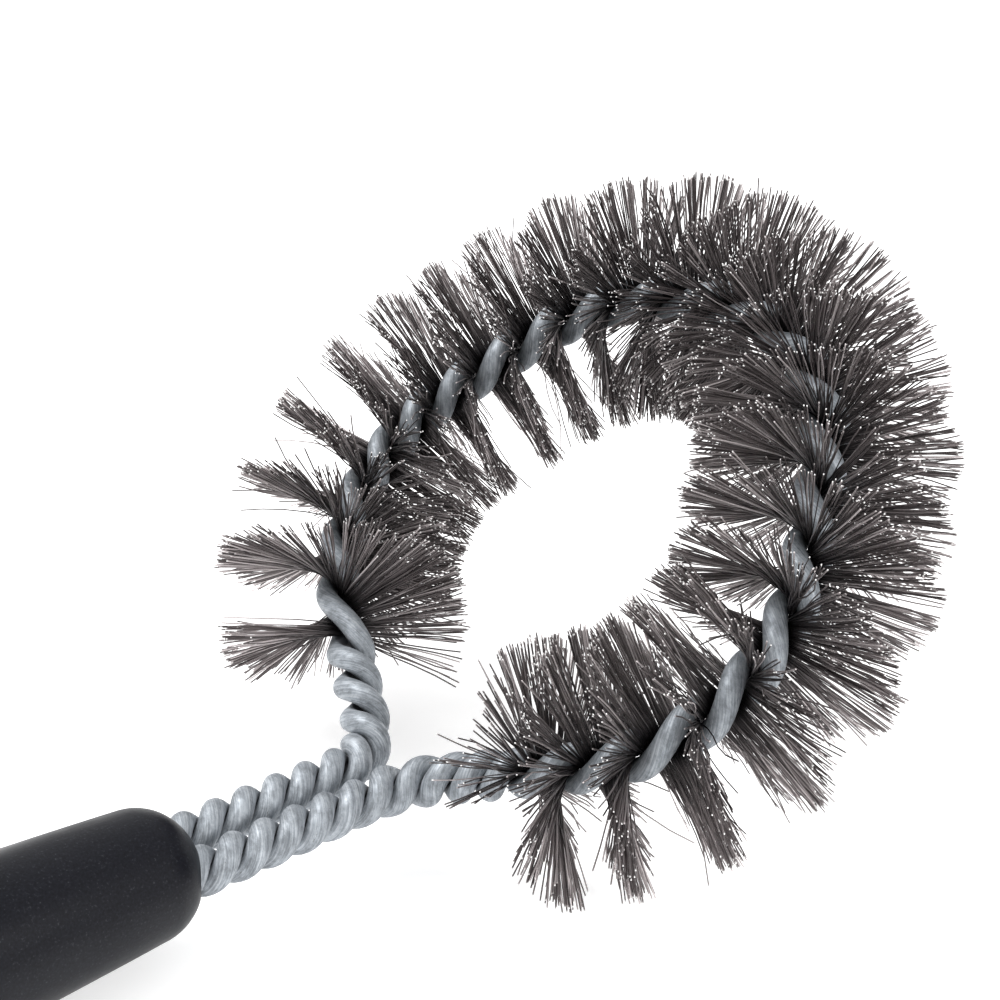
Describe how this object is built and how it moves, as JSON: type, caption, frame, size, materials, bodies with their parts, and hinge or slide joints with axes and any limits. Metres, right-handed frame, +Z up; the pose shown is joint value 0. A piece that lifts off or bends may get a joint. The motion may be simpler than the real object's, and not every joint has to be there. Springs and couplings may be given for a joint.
{
  "type": "grill cleaning brush",
  "caption": "Grill cleaning brush with a tapered soft-grip handle and a raised loop of twisted wire packed with radiating steel bristles.",
  "frame": {"origin": "centre of the hang hole at the rear end of the handle, on the handle's axis", "axes": "+X along the handle towards the brush head, +Y to the left, +Z up, normal to the hang hole's flat tab and to the table the brush lies on"},
  "size_m": [0.3064, 0.1311, 0.1001],
  "materials": {
    "galvanised_wire": "satin zinc coated",
    "bristle_steel": "dark drawn wire",
    "soft_grip": "soft-touch matte",
    "hard_plastic": "matte",
    "collar_steel": "pressed sheet",
    "screw_steel": "zinc plated"
  },
  "bodies": {
    "root": {"wire_strand_a": "galvanised_wire", "wire_strand_b": "galvanised_wire", "bristle_fan_01": "bristle_steel", "bristle_fan_02": "bristle_steel", "bristle_fan_03": "bristle_steel", "bristle_fan_04": "bristle_steel", "bristle_fan_05": "bristle_steel", "bristle_fan_06": "bristle_steel", "bristle_fan_07": "bristle_steel", "bristle_fan_08": "bristle_steel", "bristle_fan_09": "bristle_steel", "bristle_fan_10": "bristle_steel", "bristle_fan_11": "bristle_steel", "bristle_fan_12": "bristle_steel", "bristle_fan_13": "bristle_steel", "bristle_fan_14": "bristle_steel", "bristle_fan_15": "bristle_steel", "bristle_fan_16": "bristle_steel", "bristle_fan_17": "bristle_steel", "bristle_fan_18": "bristle_steel", "bristle_fan_19": "bristle_steel", "bristle_fan_20": "bristle_steel", "bristle_fan_21": "bristle_steel", "bristle_fan_22": "bristle_steel", "grip_sleeve": "soft_grip", "handle_core_upper": "hard_plastic", "handle_core_lower": "hard_plastic", "crimp_collar": "collar_steel", "core_screws": "screw_steel", "end_cap": "hard_plastic"}
  },
  "joints": []
}
